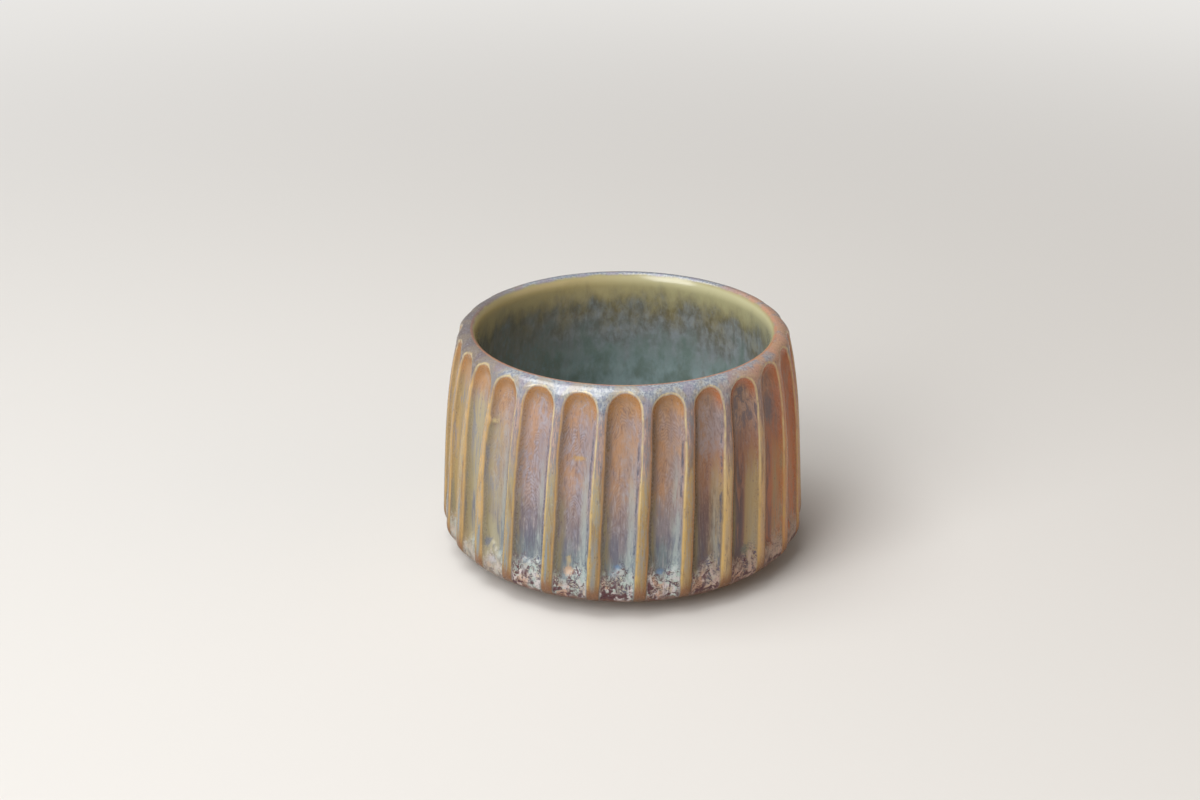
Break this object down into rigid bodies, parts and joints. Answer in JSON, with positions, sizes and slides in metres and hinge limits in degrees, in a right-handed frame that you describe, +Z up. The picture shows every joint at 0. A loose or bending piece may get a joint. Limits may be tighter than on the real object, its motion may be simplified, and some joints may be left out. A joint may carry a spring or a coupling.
{
  "type": "cortado cup",
  "caption": "Handleless thrown stoneware cup with upright carved flutes, a rounded lip, a turned foot ring and separate inner and outer glaze coats, for a small milk coffee.",
  "frame": {"origin": "centre of the foot ring's underside, on the surface that the cup stands on", "axes": "+Z up along the axis of the wheel; the side in the picture faces -Y, with +X to its right"},
  "size_m": [0.084, 0.0838, 0.0525],
  "materials": {
    "stoneware": "bare fired stoneware, matte",
    "outer_glaze": "runny breaking glaze, satin to gloss",
    "liner_glaze": "glossy olive to blue-grey glaze"
  },
  "bodies": {
    "root": {"stoneware_body": "stoneware", "outer_glaze": "outer_glaze", "liner_glaze": "liner_glaze"}
  },
  "joints": []
}
